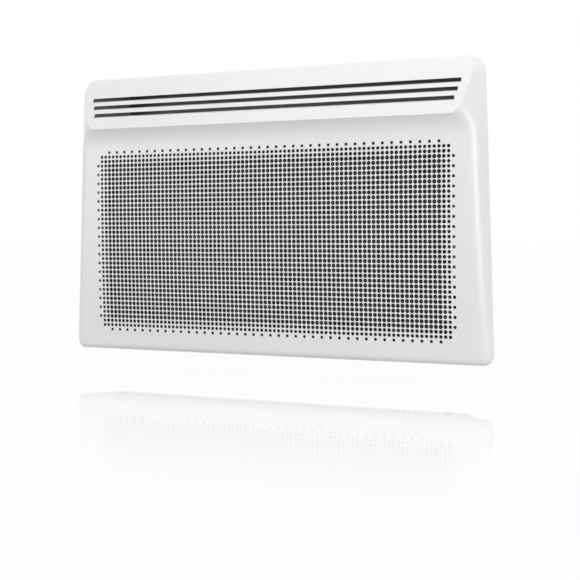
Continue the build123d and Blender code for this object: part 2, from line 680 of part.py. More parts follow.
def control_housing():
    """Open tray through the flank's opening, with posts for the two circuit boards."""
    tray = unit_block((UNIT_FLOOR, UNIT_FACE), UNIT_DEPTH, (UNIT_BOTTOM, UNIT_TOP))
    tray -= unit_block((UNIT_FLOOR + UNIT_WALL, UNIT_FACE + PAST), UNIT_DEPTH - 2 * UNIT_WALL,
                       (UNIT_BOTTOM + UNIT_WALL, UNIT_TOP - UNIT_WALL))
    boards = ((DISPLAY_BOARD_X, DISPLAY_BOARD_Z, 2.0), (POWER_BOARD_X, POWER_BOARD_Z, 3.0))
    for reach, (low, high), inset in boards:
        for z in (low + inset, high - inset + 1):
            for y in (UNIT_Y - POST_HALF_Y, UNIT_Y + POST_HALF_Y):
                tray += block((UNIT_FLOOR + 1, reach), (y - POST / 2, y + POST / 2),
                              (z - POST / 2, z + POST / 2))
    return tray


def control_bezel():
    """Plate on the housing with the places for the window, the buttons and the switch."""
    size = (UNIT_DEPTH - UNIT_WALL, UNIT_TOP - UNIT_BOTTOM - UNIT_WALL)
    middle = (UNIT_TOP + UNIT_BOTTOM) / 2
    face = Pos(UNIT_Y, middle) * RectangleRounded(*size, BEZEL_CORNER)
    face -= unit_window(WINDOW, WINDOW_Z)
    for z in BUTTON_Z:
        face -= unit_window((BUTTON_SIZE[0] + 2 * BUTTON_GAP, BUTTON_SIZE[1] + 2 * BUTTON_GAP), z)
    face -= unit_window(ROCKER_BODY, ROCKER_Z)
    return extrude(Plane.YZ.offset(UNIT_FACE) * face, amount=BEZEL)


def display_window():
    """Clear window, flush with the bezel."""
    glass = Plane.YZ.offset(UNIT_FACE - 0.5) * unit_window(WINDOW, WINDOW_Z)
    return extrude(glass, amount=BEZEL + 0.5)


def circuit_board(x, z):
    return unit_block((x, x + BOARD[0]), BOARD[1], z)


def display_unit():
    """Digit display on the upper board, under the window."""
    height = (WINDOW_Z - DISPLAY[1] / 2, WINDOW_Z + DISPLAY[1] / 2)
    return unit_block((DISPLAY_BOARD_X + BOARD[0], DISPLAY_FRONT), DISPLAY[0], height)


def key_switches():
    seat = DISPLAY_BOARD_X + BOARD[0]
    half = KEY_SWITCH[0] / 2
    return [unit_block((seat, seat + KEY_SWITCH[1]), KEY_SWITCH[0], (z - half, z + half))
            for z in BUTTON_Z]


def button(z):
    """Key cap with the flange that keeps it behind the bezel and its short stem."""
    width, height = BUTTON_SIZE
    wider, taller, thickness = BUTTON_FLANGE
    top = UNIT_FACE - BUTTON_PLAY
    base = UNIT_FACE - BUTTON_ROOT
    cap = unit_block((base, BEZEL_FACE + BUTTON_PROUD), width, (z - height / 2, z + height / 2))
    cap = chamfer(cap.faces().sort_by(Axis.X)[-1].edges(), BUTTON_CHAMFER)
    cap += unit_block((top - thickness, top), width + wider,
                      (z - (height + taller) / 2, z + (height + taller) / 2))
    tip = DISPLAY_BOARD_X + BOARD[0] + KEY_SWITCH[1] + BUTTON_TRAVEL
    return cap + unit_block((tip, base), BUTTON_STEM, (z - BUTTON_STEM / 2, z + BUTTON_STEM / 2))


def rocker_frame():
    """Body of the mains switch, with the well that the rocker tilts in."""
    width, height, proud = ROCKER_FLANGE
    half = ROCKER_BODY[1] / 2
    across, above = ROCKER_PLAY
    well = ROCKER_SIZE[1] / 2 + above
    frame = unit_block((ROCKER_REAR, BEZEL_FACE), ROCKER_BODY[0], (ROCKER_Z - half, ROCKER_Z + half))
    frame += unit_block((BEZEL_FACE, BEZEL_FACE + proud), width,
                        (ROCKER_Z - height / 2, ROCKER_Z + height / 2))
    frame -= unit_block((ROCKER_WELL, BEZEL_FACE + proud + PAST), ROCKER_SIZE[0] + across,
                        (ROCKER_Z - well, ROCKER_Z + well))
    bearing = ROCKER_BODY[0] / 2 - ROCKER_BEARING
    return frame - rod_y(ROCKER_PIN + PIN_PLAY[0], UNIT_Y - bearing, UNIT_Y + bearing,
                         ROCKER_AXIS_X, ROCKER_Z)


def rocker():
    """Rocker with its dished front on two short pins, at rest with its upper half in."""
    front = ROCKER_AXIS_X + ROCKER_PROUD
    half = ROCKER_SIZE[1] / 2
    rear = ROCKER_AXIS_X - ROCKER_CORE[0]
    core = ROCKER_CORE[1]
    outline = [(front, -half), (front - ROCKER_DISH, 0), (front, half), (ROCKER_AXIS_X - 1, half),
               (rear, core), (rear, -core), (ROCKER_AXIS_X - 1, -half)]
    side = Polygon(*[(x, z + ROCKER_Z) for x, z in outline], align=None)
    key = extrude(Plane.XZ.offset(-UNIT_Y) * side, amount=ROCKER_SIZE[0] / 2, both=True)
    reach = ROCKER_BODY[0] / 2 - ROCKER_BEARING - PIN_PLAY[1]
    key += rod_y(ROCKER_PIN, UNIT_Y - reach, UNIT_Y + reach, ROCKER_AXIS_X, ROCKER_Z)
    pivot = Axis((ROCKER_AXIS_X, 0, ROCKER_Z), (0, 1, 0))
    return key.rotate(pivot, -ROCKER_SWING / 2)


def power_part(height, y, z):
    """A boxed component on the power board: height, and its span each way, from the middle."""
    seat = POWER_BOARD_X + BOARD[0]
    return block((seat, seat + height), (UNIT_Y + y[0], UNIT_Y + y[1]), z)


def bezel_screws():
    heads = (UNIT_TOP - BEZEL_SCREW_INSET, UNIT_BOTTOM + BEZEL_SCREW_INSET)
    top = BEZEL_FACE + BEZEL_SCREW_HEIGHT
    return [prism_x(BEZEL_SCREW, 8, BEZEL_FACE, top, UNIT_Y, z) for z in heads]


def probe(low, high):
    return Pos(SENSOR_X, SENSOR_Y, low) * extrude(RegularPolygon(SENSOR, 8), amount=high - low)


def sensor_clip():
    """Block on the underside that holds the room sensor."""
    half = SENSOR_CLIP[0] / 2
    floor = BOTTOM + CASE_SHEET
    clip = block((SENSOR_X - half, SENSOR_X + half), (SENSOR_Y - half, SENSOR_Y + half),
                 (floor, floor + SENSOR_CLIP[1]))
    return clip - probe(floor - PAST, floor + SENSOR_CLIP[1] + PAST)


def room_sensor():
    """Thermistor probe that reads the air drawn in from below."""
    return probe(BOTTOM + SENSOR_RISE[0], BOTTOM + SENSOR_RISE[1])


def terminal_block():
    """Three-way block on the right end plate, each way with its wire hole from top to bottom."""
    seat = END_X + END_SHEET / 2
    low = BOTTOM + TERMINAL_RISE[0]
    high = BOTTOM + TERMINAL_RISE[1]
    ways = block((seat, seat + TERMINAL_DEPTH),
                 (ELEMENT_Y - TERMINAL_DEPTH, ELEMENT_Y + TERMINAL_DEPTH), (low, high))
    for step in (-1, 0, 1):
        y = ELEMENT_Y + TERMINAL_PITCH * step
        middle = seat + TERMINAL_HOLE_X
        ways -= block((middle - TERMINAL_HOLE / 2, middle + TERMINAL_HOLE / 2),
                      (y - TERMINAL_HOLE / 2, y + TERMINAL_HOLE / 2), (low - PAST, high + PAST))
    return ways


def gland_outline():
    return Pos(GLAND_X, GLAND_Y) * RegularPolygon(GLAND_RADIUS, 12)


def cable_gland():
    """Bush for the mains cord, flush with the underside."""
    inner = BOTTOM + CASE_SHEET
    gland = Pos(0, 0, BOTTOM) * extrude(gland_outline(), amount=CASE_SHEET + 0.5)
    gland += Pos(GLAND_X, GLAND_Y, inner) * extrude(RegularPolygon(GLAND_NUT, 6), amount=GLAND_HEIGHT)
    return gland - rod_z(CORD_RADIUS, BOTTOM - PAST, inner + GLAND_HEIGHT + PAST, GLAND_X, GLAND_Y)


def earth_stud():
    z = BOTTOM + EARTH_RISE
    stud = prism_y(EARTH_NUT / 2, 8, CASE_INNER - EARTH_LENGTH, CASE_INNER, EARTH_X, z)
    return stud + prism_y(EARTH_NUT, 6, CASE_INNER - EARTH_NUT_HEIGHT, CASE_INNER, EARTH_X, z)


def main():
    save("wall_rail", wall_rail())
    save("front_panel", front_panel())
    save("rear_case", rear_case())
    save("case_screws", case_screws())
    save("foot_channel_left", foot_channel(-1))
    save("foot_channel_right", foot_channel(1))
    save("rear_spacers", rear_spacers())
    save("infrared_panel", infrared_panel())
    save("panel_insulators", panel_insulators())
    save("end_plate_right", end_plate())
    save("end_plate_left", end_plate().mirror(Plane.YZ))
    save("convection_element", convection_element())
    save("element_rod", element_rod())
    save("element_bush_right", element_bush())
    save("element_bush_left", element_bush().mirror(Plane.YZ))
    save("heat_shield", heat_shield())
    save("overheat_cutout", overheat_cutout())
    save("thermal_fuse", thermal_fuse())
    save("control_housing", control_housing())
    save("control_bezel", control_bezel())
    save("display_window", display_window())
    save("display_board", circuit_board(DISPLAY_BOARD_X, DISPLAY_BOARD_Z))
    save("display_unit", display_unit())
    save("key_switches", key_switches())
    save("power_board", circuit_board(POWER_BOARD_X, POWER_BOARD_Z))
    save("relay", power_part(8.4, (-14, -1), (-190, -172)))
    save("tilt_switch", power_part(7.4, (3, 13), (-190, -176)))
    save("board_transformer", power_part(8.9, (-12, 8), (-142, -126)))
    save("bezel_screws", bezel_screws())
    save("rocker_frame", rocker_frame())
    save("rocker", rocker())
    for name, z in zip(BUTTON_NAMES, BUTTON_Z):
        save("button_" + name, button(z))
    save("sensor_clip", sensor_clip())
    save("room_sensor", room_sensor())
    save("terminal_block", terminal_block())
    save("cable_gland", cable_gland())
    save("earth_stud", earth_stud())


main()
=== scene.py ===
import json
from math import acos, atan2, cos, pi, radians, sin, sqrt, tan

import bmesh
import bpy
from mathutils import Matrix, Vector


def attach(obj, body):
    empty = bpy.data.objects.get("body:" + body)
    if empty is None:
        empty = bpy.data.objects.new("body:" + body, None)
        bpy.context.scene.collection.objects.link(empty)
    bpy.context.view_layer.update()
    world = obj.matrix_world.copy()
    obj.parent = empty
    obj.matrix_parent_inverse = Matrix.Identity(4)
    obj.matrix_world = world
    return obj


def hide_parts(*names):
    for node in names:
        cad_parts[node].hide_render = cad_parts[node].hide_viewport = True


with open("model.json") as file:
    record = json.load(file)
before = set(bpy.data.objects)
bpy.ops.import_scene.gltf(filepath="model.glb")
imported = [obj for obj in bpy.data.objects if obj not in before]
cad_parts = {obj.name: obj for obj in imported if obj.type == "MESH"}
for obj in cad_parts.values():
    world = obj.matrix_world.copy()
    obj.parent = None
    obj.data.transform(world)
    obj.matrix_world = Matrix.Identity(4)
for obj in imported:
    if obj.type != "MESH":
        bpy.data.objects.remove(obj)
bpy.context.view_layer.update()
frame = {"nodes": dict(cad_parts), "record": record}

MM = 0.001

# ---- the front panel's measures, mm ---------------------------------------------------
PITCH = 6.5
COLUMNS = 83
ROWS = 39
BOTTOM = -310.0
TOP = 90.0
HALF_BOTTOM = 321.6
HALF_TOP = 310.2
PANEL_BACK = -81.4
FACE_Y = -100.5
FACE_RADIUS = 3870.0
FIELD_Z = BOTTOM + 159.6
ARC_TOP = FIELD_Z + (ROWS - 1) / 2 * PITCH
LIP_Y = -112.5
LIP_Z = BOTTOM + 323.5
COVE_HEIGHT = 26.0
VISOR_LEAN = radians(17.2)
TOP_BEND = 7.0
BOTTOM_BEND = 7.5
SIDE_SLOPE = (0.66, 0.92)    # beside the face and beside the visor
SLOPE_TURNS = (-12.0, 26.0)  # heights between which the side wall twists
SIDE_BEND = 20.0
CORNER_TOP = 23.0
CREASE_END = 0.6         # share of the top corner that the visor's crease runs round
CORNER_BOTTOM = 14.5
LEAN_BOTTOM = 0.4        # the straight sides' lean over the height of a lower corner
LEAN_TOP = 0.6           # and over the height of a top corner
OPENING_HALF = 299.5     # opening behind the panel, for the rear case
OPENING_TOP = TOP - 13.0
OPENING_BOTTOM = BOTTOM + 1.2
OPENING_CORNER = 13.0
# height of the louvres' middles, their half widths, and the size of their openings
LOUVRE_Z = (BOTTOM + 367.2, BOTTOM + 355.6, BOTTOM + 343.8)
LOUVRE_HALF = (283.0, 279.4, 275.9)
LOUVRE_SIZE = 6.5
LOUVRE_FLAP = ((0.6, 0.15), (1.4, 0.5), (2.8, 1.1), (5.5, 1.8))   # inwards, up
HOLES = {-1: 4.25, 0: 4.65, 1: 5.15}    # diameter by ring, from the sparse ring inwards
HOLE = 5.75              # diameter of all other openings
GAUGE = 0.6              # thickness of the sheet
HOLE_SIDES = 10          # perforate() is written for this number

# ---- the mesh's rows and columns, distances in mm ------------------------------------
BEND_COLUMNS = 8
BEVEL_COLUMNS = 5
FLAT_COLUMNS = 4
COVE_ROWS = 11           # rows of the cove whose bend runs on into the side wall
CORNER_ROWS = 8          # rows of the cove that end on the visor's lower corners
CORNER_ANGLES = [radians(10 * i) for i in range(10)]    # of the rows on the round corners
MARGIN_ROW = 21.0        # height over the bottom edge of the last row below the field
VISOR_ROW = 5.0          # height over the visor's lower corners of the row above them
LEAST_SIDE = 6.0         # least width of bend and side wall together
LEAST_WALL = 2.0         # least width of the side wall beside the visor
WALL_REACH = 40.0        # the visor's side edge is looked for this near to the outline
LEAST_SLOPE = 0.3        # where the search for the slope begins at which bend and visor meet
SAME_HEIGHT = 1e-6       # heights that differ by less than this are the same row
HALVINGS = 50            # steps of a search
LEAST_REAR = 0.02        # rear walls less deep than this are left out
JOIN = 0.01              # points closer than this are joined
TINY = 0.005             # edges shorter than this are dissolved
SHARP = radians(38)      # edges that turn by more than this are sharp


# ---- profile and outline -------------------------------------------------------------
def face_y(z):
    """Depth of the perforated face at a height, flat above ARC_TOP and curved below it."""
    drop = max(ARC_TOP - z, 0.0)
    return FACE_Y + FACE_RADIUS - sqrt(FACE_RADIUS ** 2 - drop ** 2)


def visor_y(z):
    """Depth of the visor's plane at a height."""
    return LIP_Y + (z - LIP_Z) * tan(VISOR_LEAN)


COVE_DEPTH = FACE_Y - LIP_Y
COVE_RADIUS = (COVE_DEPTH ** 2 + COVE_HEIGHT ** 2) / (2 * COVE_DEPTH)
COVE_Y = FACE_Y - COVE_RADIUS
COVE_Z = LIP_Z - COVE_HEIGHT
COVE_END = acos(1 - COVE_DEPTH / COVE_RADIUS)


def edge_x(z):
    """Half width of the panel's straight sides at a height."""
    return HALF_BOTTOM + (HALF_TOP - HALF_BOTTOM) * (z - BOTTOM) / (TOP - BOTTOM)


# middles of the arcs of the right lower and the right top corner
LOW_X = edge_x(BOTTOM) - CORNER_BOTTOM - LEAN_BOTTOM
LOW_Z = BOTTOM + CORNER_BOTTOM
HIGH_X = edge_x(TOP) - CORNER_TOP + LEAN_TOP
HIGH_Z = TOP - CORNER_TOP


def outline_x(z):
    """Half width of the panel at a height, with its round corners."""
    if z < LOW_Z:
        return LOW_X + sqrt(max(CORNER_BOTTOM ** 2 - (z - LOW_Z) ** 2, 0))
    if z > HIGH_Z:
        return HIGH_X + sqrt(max(CORNER_TOP ** 2 - (z - HIGH_Z) ** 2, 0))
    return edge_x(z)


def smooth(share):
    """Eases a share from 0 to 1 without a kink at either end."""
    share = max(0.0, min(1.0, share))
    return share * share * (3 - 2 * share)


def side_slope(z):
    """Width of the side wall over its depth at a height."""
    low, high = SLOPE_TURNS
    share = smooth((z - low) / (high - low))
    return SIDE_SLOPE[0] + (SIDE_SLOPE[1] - SIDE_SLOPE[0]) * share


def bevel_y(x, z):
    """Depth of the side wall at a place."""
    return PANEL_BACK - (edge_x(z) - x) / side_slope(z)


def wall_normal(z):
    """Normal of the side wall at a height."""
    turn = atan2(1, side_slope(z))
    return Vector((sin(turn), -cos(turn), 0))


def slerp(a, b, share):
    """Unit vector at a share of the turn from one to the other."""
    whole = acos(max(-1, min(1, a.dot(b))))
    return (a * sin((1 - share) * whole) + b * sin(share * whole)) / sin(whole)


def side_bend(y, z, slope):
    """Middle of the soft bend's ball, the normals where it touches the profile and the wall."""
    normal = Vector((0, -cos(slope), -sin(slope)))
    middle = Vector((0, y, z)) - normal * SIDE_BEND
    wall = wall_normal(middle.z)
    gap = SIDE_BEND + wall.y * (middle.y - PANEL_BACK)
    middle.x = edge_x(middle.z) - gap / wall.x
    return middle, normal, wall


def arc_points(bend, last=1.0):
    """Points over the soft bend, from the profile to a last share of its turn."""
    middle, normal, wall = bend
    return [middle + slerp(normal, wall, last * i / BEND_COLUMNS) * SIDE_BEND
            for i in range(BEND_COLUMNS + 1)]


def line_points(a, b, count):
    """Points from one to the other, without the first."""
    return [a.lerp(b, i / count) for i in range(1, count + 1)]


def side_profile(inward, z):
    """Depth of the face, bend and side wall at a distance inwards from the side's edge."""
    face = face_y(z)
    slope = side_slope(z)
    turn = atan2(1, slope)
    reach = SIDE_BEND * tan(turn / 2)
    start = slope * (PANEL_BACK - face) + reach
    end = slope * (PANEL_BACK - face) - reach * cos(turn)
    if inward >= start:
        return face
    if inward <= end:
        return PANEL_BACK - inward / slope
    return min(face + SIDE_BEND - sqrt(SIDE_BEND ** 2 - (start - inward) ** 2), PANEL_BACK)


def bottom_profile(rise, z):
    """Depth of the face and the bottom edge's bend at a distance upwards from the edge."""
    near = max(BOTTOM_BEND - rise, 0.0)
    return face_y(z) + BOTTOM_BEND - sqrt(BOTTOM_BEND ** 2 - near ** 2)


def lower_y(x, z):
    """Depth of the panel below its cove, with its soft lower corners."""
    if z >= LOW_Z:
        return side_profile(edge_x(z) - x, z)
    if x <= LOW_X:
        return bottom_profile(z - BOTTOM, z)
    inward = max(CORNER_BOTTOM - sqrt((x - LOW_X) ** 2 + (z - LOW_Z) ** 2), 0.0)
    share = smooth(atan2(LOW_Z - z, x - LOW_X) / (pi / 2))
    return side_profile(inward, z) * (1 - share) + bottom_profile(inward, z) * share


def side_of_row(z):
    """Bend and side wall of a row at one height below the cove, out to the outline."""
    limit = outline_x(z)
    straight = max(z, LOW_Z)
    marks = [p.x for p in arc_points(side_bend(face_y(straight), straight, 0.0))]
    last, outer = marks[-1], edge_x(straight)
    marks += [last + (outer - last) * i / BEVEL_COLUMNS for i in range(1, BEVEL_COLUMNS + 1)]
    start = min(marks[0], limit - LEAST_SIDE)
    shares = [(mark - marks[0]) / (marks[-1] - marks[0]) for mark in marks]
    xs = [start + (limit - start) * share for share in shares]
    return [Vector((x, lower_y(x, z), z)) for x in xs]


def top_profile(z):
    """Depth of the visor and the top edge's bend at a height."""
    back = visor_y(TOP) + TOP_BEND * tan((pi / 2 - VISOR_LEAN) / 2)
    if z <= TOP - TOP_BEND + TOP_BEND * sin(VISOR_LEAN):
        return visor_y(z)
    return back - sqrt(max(TOP_BEND ** 2 - (z - TOP + TOP_BEND) ** 2, 0))


def wall_y(x, z):
    """Depth of the side wall beside the visor, carried round the top corner."""
    if z <= HIGH_Z:
        return min(bevel_y(x, z), PANEL_BACK)
    inward = max(CORNER_TOP - sqrt((x - HIGH_X) ** 2 + (z - HIGH_Z) ** 2), 0.0)
    turned = atan2(z - HIGH_Z, x - HIGH_X) / (pi / 2)
    share = smooth((turned - CREASE_END) / (1 - CREASE_END))
    side = PANEL_BACK - inward / side_slope(z)
    return side * (1 - share) + top_profile(TOP - inward) * share


def crease_row(y, z):
    """Side wall of a row on the visor, from the visor's side edge to the outline."""
    limit = outline_x(z)
    inner = edge_x(TOP) - CORNER_TOP if z > HIGH_Z else limit - WALL_REACH
    start = solve(lambda x: y - wall_y(x, z), inner, limit) if wall_y(limit, z) > y else limit
    start = min(start, limit - LEAST_WALL)
    points = []
    for i in range(BEVEL_COLUMNS + 1):
        x = start + (limit - start) * i / BEVEL_COLUMNS
        points.append(Vector((x, max(y, wall_y(x, z)), z)))
    return points


def profile_point(slope):
    """Depth and height of the cove's profile where it has a slope."""
    return COVE_Y + COVE_RADIUS * cos(slope), COVE_Z + COVE_RADIUS * sin(slope)


def visor_gap(slope, share):
    """How far a point of the bend lies behind the visor's plane."""
    middle, normal, wall = side_bend(*profile_point(slope), slope)
    point = middle + slerp(normal, wall, share) * SIDE_BEND
    return point.y - visor_y(point.z)


def solve(func, low, high):
    """Where a falling function passes zero."""
    for _ in range(HALVINGS):
        middle = (low + high) / 2
        if func(middle) > 0:
            low = middle
        else:
            high = middle
    return (low + high) / 2


# ---- rows ----------------------------------------------------------------------------
STRETCH_BELOW = ((-17.15, 276.25), (-12.5, 275.0), (13.5, 264.0))    # height, half width
LOUVRE_RISE = LOUVRE_SIZE / 2 * cos(VISOR_LEAN)


def stretch_x(z):
    """Half width of the regular columns, which end with the louvres on the visor."""
    marks = list(STRETCH_BELOW)
    for level, half_x in zip(LOUVRE_Z[::-1], LOUVRE_HALF[::-1]):
        marks += [(level - LOUVRE_RISE, half_x), (level + LOUVRE_RISE, half_x)]
    marks.append((TOP, LOUVRE_HALF[0]))
    if z <= marks[0][0]:
        return marks[0][1]
    for (z0, x0), (z1, x1) in zip(marks, marks[1:]):
        if z <= z1:
            return x0 + (x1 - x0) * (z - z0) / (z1 - z0)
    return marks[-1][1]


class Skin:
    """Outer skin of the sheet as it is built: points, faces and the rows' vertex numbers."""

    def __init__(self):
        self.points = []
        self.faces = []

    def add(self, point):
        self.points.append(tuple(point))
        return len(self.points) - 1

    def row(self, y, z, right):
        """A whole row: side points mirrored on the left, regular columns in the middle."""
        stretch = stretch_x(z)
        flat = [Vector((stretch + (right[0].x - stretch) * i / FLAT_COLUMNS, y, z))
                for i in range(1, FLAT_COLUMNS)]
        side = flat + list(right)
        xs = [stretch * (2 * i / (COLUMNS + 2) - 1) for i in range(COLUMNS + 3)]
        middle = [self.add((x, y, z)) for x in xs]
        rights = [self.add(p) for p in side]
        lefts = [self.add((-p.x, p.y, p.z)) for p in side]
        return {"middle": middle, "right": rights, "left": lefts}

    def band(self, a, b):
        """Faces between two strings of vertices, a below b, outwards towards -Y."""
        for i in range(len(a) - 1):
            self.face(a[i], a[i + 1], b[i + 1], b[i])

    def face(self, *ids):
        ring = [v for i, v in enumerate(ids) if v != ids[i - 1]]
        if len(ring) > 2:
            self.faces.append(ring)


def row_string(row, upto=None):
    """A row's vertices from its left end to its right end."""
    rights = row["right"][:upto]
    lefts = row["left"][:upto]
    return lefts[::-1] + row["middle"] + rights


def hole_radius(column, row):
    """Radius of the opening in a cell of the field, or None in a plain cell."""
    ring_column = min(column, COLUMNS - 1 - column)
    ring_row = min(row, ROWS - 1 - row)
    ring = min(ring_column, ring_row)
    if ring < 0:
        other = ring_row if ring_column < 0 else ring_column
        index = row if ring_column < 0 else column
        if other < 2 or index % 2:
            return None
    return HOLES.get(ring, HOLE) / 2


def perforate(skin, low, high, row):
    """Cells of one row of the field: four faces round each opening.

    The openings' corners lie a little outside the circle, so that the area is right.
    """
    area = sqrt(2 * pi / (HOLE_SIDES * sin(2 * pi / HOLE_SIDES)))
    z0, z1 = skin.points[low[0]][2], skin.points[high[0]][2]
    for i in range(COLUMNS + 2):
        a, b, c, d = low[i], low[i + 1], high[i + 1], high[i]
        radius = hole_radius(i - 1, row)
        if radius is None:
            skin.face(a, b, c, d)
            continue
        x = (skin.points[a][0] + skin.points[b][0]) / 2
        z = (z0 + z1) / 2
        ring = []
        for k in range(HOLE_SIDES):
            angle = 2 * pi * k / HOLE_SIDES
            pz = z + area * radius * sin(angle)
            share = (pz - z0) / (z1 - z0)
            y = skin.points[a][1] * (1 - share) + skin.points[d][1] * share
            ring.append(skin.add((x + area * radius * cos(angle), y, pz)))
        skin.face(b, c, ring[1], ring[0], ring[9])
        skin.face(c, d, ring[4], ring[3], ring[2], ring[1])
        skin.face(d, a, ring[6], ring[5], ring[4])
        skin.face(a, b, ring[9], ring[8], ring[7], ring[6])


def lower_rows(skin):
    """Rows from the bottom edge to the cove, and how many of them lie below the field."""
    rows = []
    steps = [CORNER_BOTTOM * (1 - cos(angle)) for angle in CORNER_ANGLES]
    heights = [BOTTOM + h for h in steps + [MARGIN_ROW]]
    for z in heights:
        rows.append(skin.row(bottom_profile(z - BOTTOM, z), z, side_of_row(z)))
    first = len(rows)
    for k in range(ROWS + 3):
        z = FIELD_Z + (k - (ROWS + 2) / 2) * PITCH
        rows.append(skin.row(face_y(z), z, side_of_row(z)))
    return rows, first


def cove_rows(skin, last_full):
    """Rows of the cove whose bend runs on into the side wall."""
    rows = []
    for i in range(COVE_ROWS + 1):
        slope = last_full * i / COVE_ROWS
        y, z = profile_point(slope)
        path = arc_points(side_bend(y, z, slope))
        end = Vector((edge_x(path[-1].z), PANEL_BACK, path[-1].z))
        path += line_points(path[-1], end, BEVEL_COLUMNS)
        rows.append(skin.row(y, z, path))
    return rows


def corner_rows(skin, last_full):
    """Rows of the cove that end on the visor's round lower corners."""
    rows = []
    for i in range(1, CORNER_ROWS + 1):
        slope = last_full + (COVE_END - last_full) * i / CORNER_ROWS
        y, z = profile_point(slope)
        share = solve(lambda s: visor_gap(slope, s), 0.0, 1.0) if i < CORNER_ROWS else 0.0
        rows.append(skin.row(y, z, arc_points(side_bend(y, z, slope), share)))
    return rows


def visor_rows(skin, start):
    """Rows of the visor above its lower corners, and the heights where louvres begin."""
    edges = sorted(z + side * LOUVRE_RISE for z in LOUVRE_Z for side in (-1, 1))
    corner = [TOP - CORNER_TOP * (1 - sin(angle)) for angle in CORNER_ANGLES]
    heights = [start + VISOR_ROW] + edges + [(edges[-1] + corner[0]) / 2] + corner
    rows = []
    for z in heights:
        y = top_profile(z)
        rows.append(skin.row(y, z, crease_row(y, z)))
    return rows, edges[::2]


def louvre_lip(skin, edge):
    """Flap of a louvre: it runs inwards and upwards from the opening's lower edge."""
    strings = [edge]
    for depth, rise in LOUVRE_FLAP:
        points = [skin.points[v] for v in edge]
        strings.append([skin.add((x, y + depth, z + rise)) for x, y, z in points])
    for a, b in zip(strings, strings[1:]):
        skin.band(a, b)


def rear_flange(skin, rims):
    """Wall from the skin's edge to the rear, and the flange behind it, on both sides."""
    for name, sign in (("right", 1), ("left", -1)):
        front, walls, inner = [], [], []
        for row in rims:
            x, y, z = skin.points[row[name][-1]]
            front.append(row[name][-1])
            flat = PANEL_BACK - y < LEAST_REAR
            walls.append(front[-1] if flat else skin.add((x, PANEL_BACK, z)))
            inner.append(skin.add(opening_point(x, z)))
        for a, b in ((front, walls), (walls, inner)):
            for i in range(len(a) - 1):
                quad = (a[i], b[i], b[i + 1], a[i + 1])
                skin.face(*(quad if sign > 0 else quad[::-1]))


def opening_point(x, z):
    """Place on the rear opening's edge that faces a place on the panel's outline."""
    sign = 1 if x > 0 else -1
    if z <= HIGH_Z:
        reach = OPENING_TOP - OPENING_CORNER - OPENING_BOTTOM
        height = OPENING_BOTTOM + reach * (z - BOTTOM) / (HIGH_Z - BOTTOM)
        return (sign * OPENING_HALF, PANEL_BACK, height)
    rise = min((z - HIGH_Z) / CORNER_TOP, 1)
    angle = atan2(rise, sqrt(max(1 - rise ** 2, 0)))
    return (sign * (OPENING_HALF - OPENING_CORNER + OPENING_CORNER * cos(angle)), PANEL_BACK,
            OPENING_TOP - OPENING_CORNER + OPENING_CORNER * sin(angle))


def end_walls(skin, bottom, top):
    """Rear walls along the bottom and the top, and the top's flange."""
    lows = row_string(bottom)
    skin.band([skin.add((skin.points[v][0], PANEL_BACK, skin.points[v][2])) for v in lows], lows)
    highs = row_string(top)
    walls = [skin.add((skin.points[v][0], PANEL_BACK, skin.points[v][2])) for v in highs]
    skin.band(highs, walls)
    scale = (OPENING_HALF - OPENING_CORNER) / skin.points[highs[-1]][0]
    inner = [skin.add((skin.points[v][0] * scale, PANEL_BACK, OPENING_TOP)) for v in highs]
    skin.band(walls, inner)


def side_bands(skin, a, b):
    """Faces between two rows on both sides of the regular columns."""
    skin.band(a["middle"][-1:] + a["right"], b["middle"][-1:] + b["right"])
    skin.band(a["left"][::-1] + a["middle"][:1], b["left"][::-1] + b["middle"][:1])


def build_skin():
    """The panel's whole outer skin, from the bottom edge to the top flange."""
    skin = Skin()
    last_full = solve(lambda slope: visor_gap(slope, 1.0), LEAST_SLOPE, COVE_END)
    lower, first = lower_rows(skin)
    cove = cove_rows(skin, last_full)
    ends = corner_rows(skin, last_full)
    full = lower + cove
    for i in range(len(full) - 1):
        a, b = full[i], full[i + 1]
        side_bands(skin, a, b)
        if first <= i < first + ROWS + 2:
            perforate(skin, a["middle"], b["middle"], i - first - 1)
        else:
            skin.band(a["middle"], b["middle"])
    inside = FLAT_COLUMNS + BEND_COLUMNS
    below = row_string(cove[-1], inside)
    for row in ends:
        skin.band(below, row_string(row))
        below = row_string(row)
    below = row_string(ends[-1], FLAT_COLUMNS)
    for row in ends[-2::-1] + [cove[-1]]:
        corner = Vector(skin.points[row["right"][inside - 1]])
        visor = skin.row(visor_y(corner.z), corner.z, [corner])
        skin.band(below, row_string(visor))
        below = row_string(visor)
    for name in ("right", "left"):
        visor[name] += cove[-1][name][inside:]
    uppers, slots = visor_rows(skin, skin.points[visor["middle"][0]][2])
    chain = [visor] + uppers
    for a, b in zip(chain, chain[1:]):
        side_bands(skin, a, b)
        low = skin.points[a["middle"][0]][2]
        if any(abs(low - z) < SAME_HEIGHT for z in slots):
            louvre_lip(skin, a["middle"])
        else:
            skin.band(a["middle"], b["middle"])
    rear_flange(skin, full + uppers)
    end_walls(skin, lower[0], uppers[-1])
    return skin


def finish_mesh(name, mesh, material, body):
    """Object for a mesh, with its material, that moves with a body."""
    item = bpy.data.objects.new(name, mesh)
    bpy.context.scene.collection.objects.link(item)
    mesh.materials.append(material)
    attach(item, body)
    return item


def mark_sharp(mesh, angle):
    """Smooth shading, but sharp at open edges and at edges that turn by an angle or more."""
    bm = bmesh.new()
    bm.from_mesh(mesh)
    for face in bm.faces:
        face.smooth = True
    for edge in bm.edges:
        edge.smooth = len(edge.link_faces) == 2 and edge.calc_face_angle() < angle
    bm.to_mesh(mesh)
    bm.free()


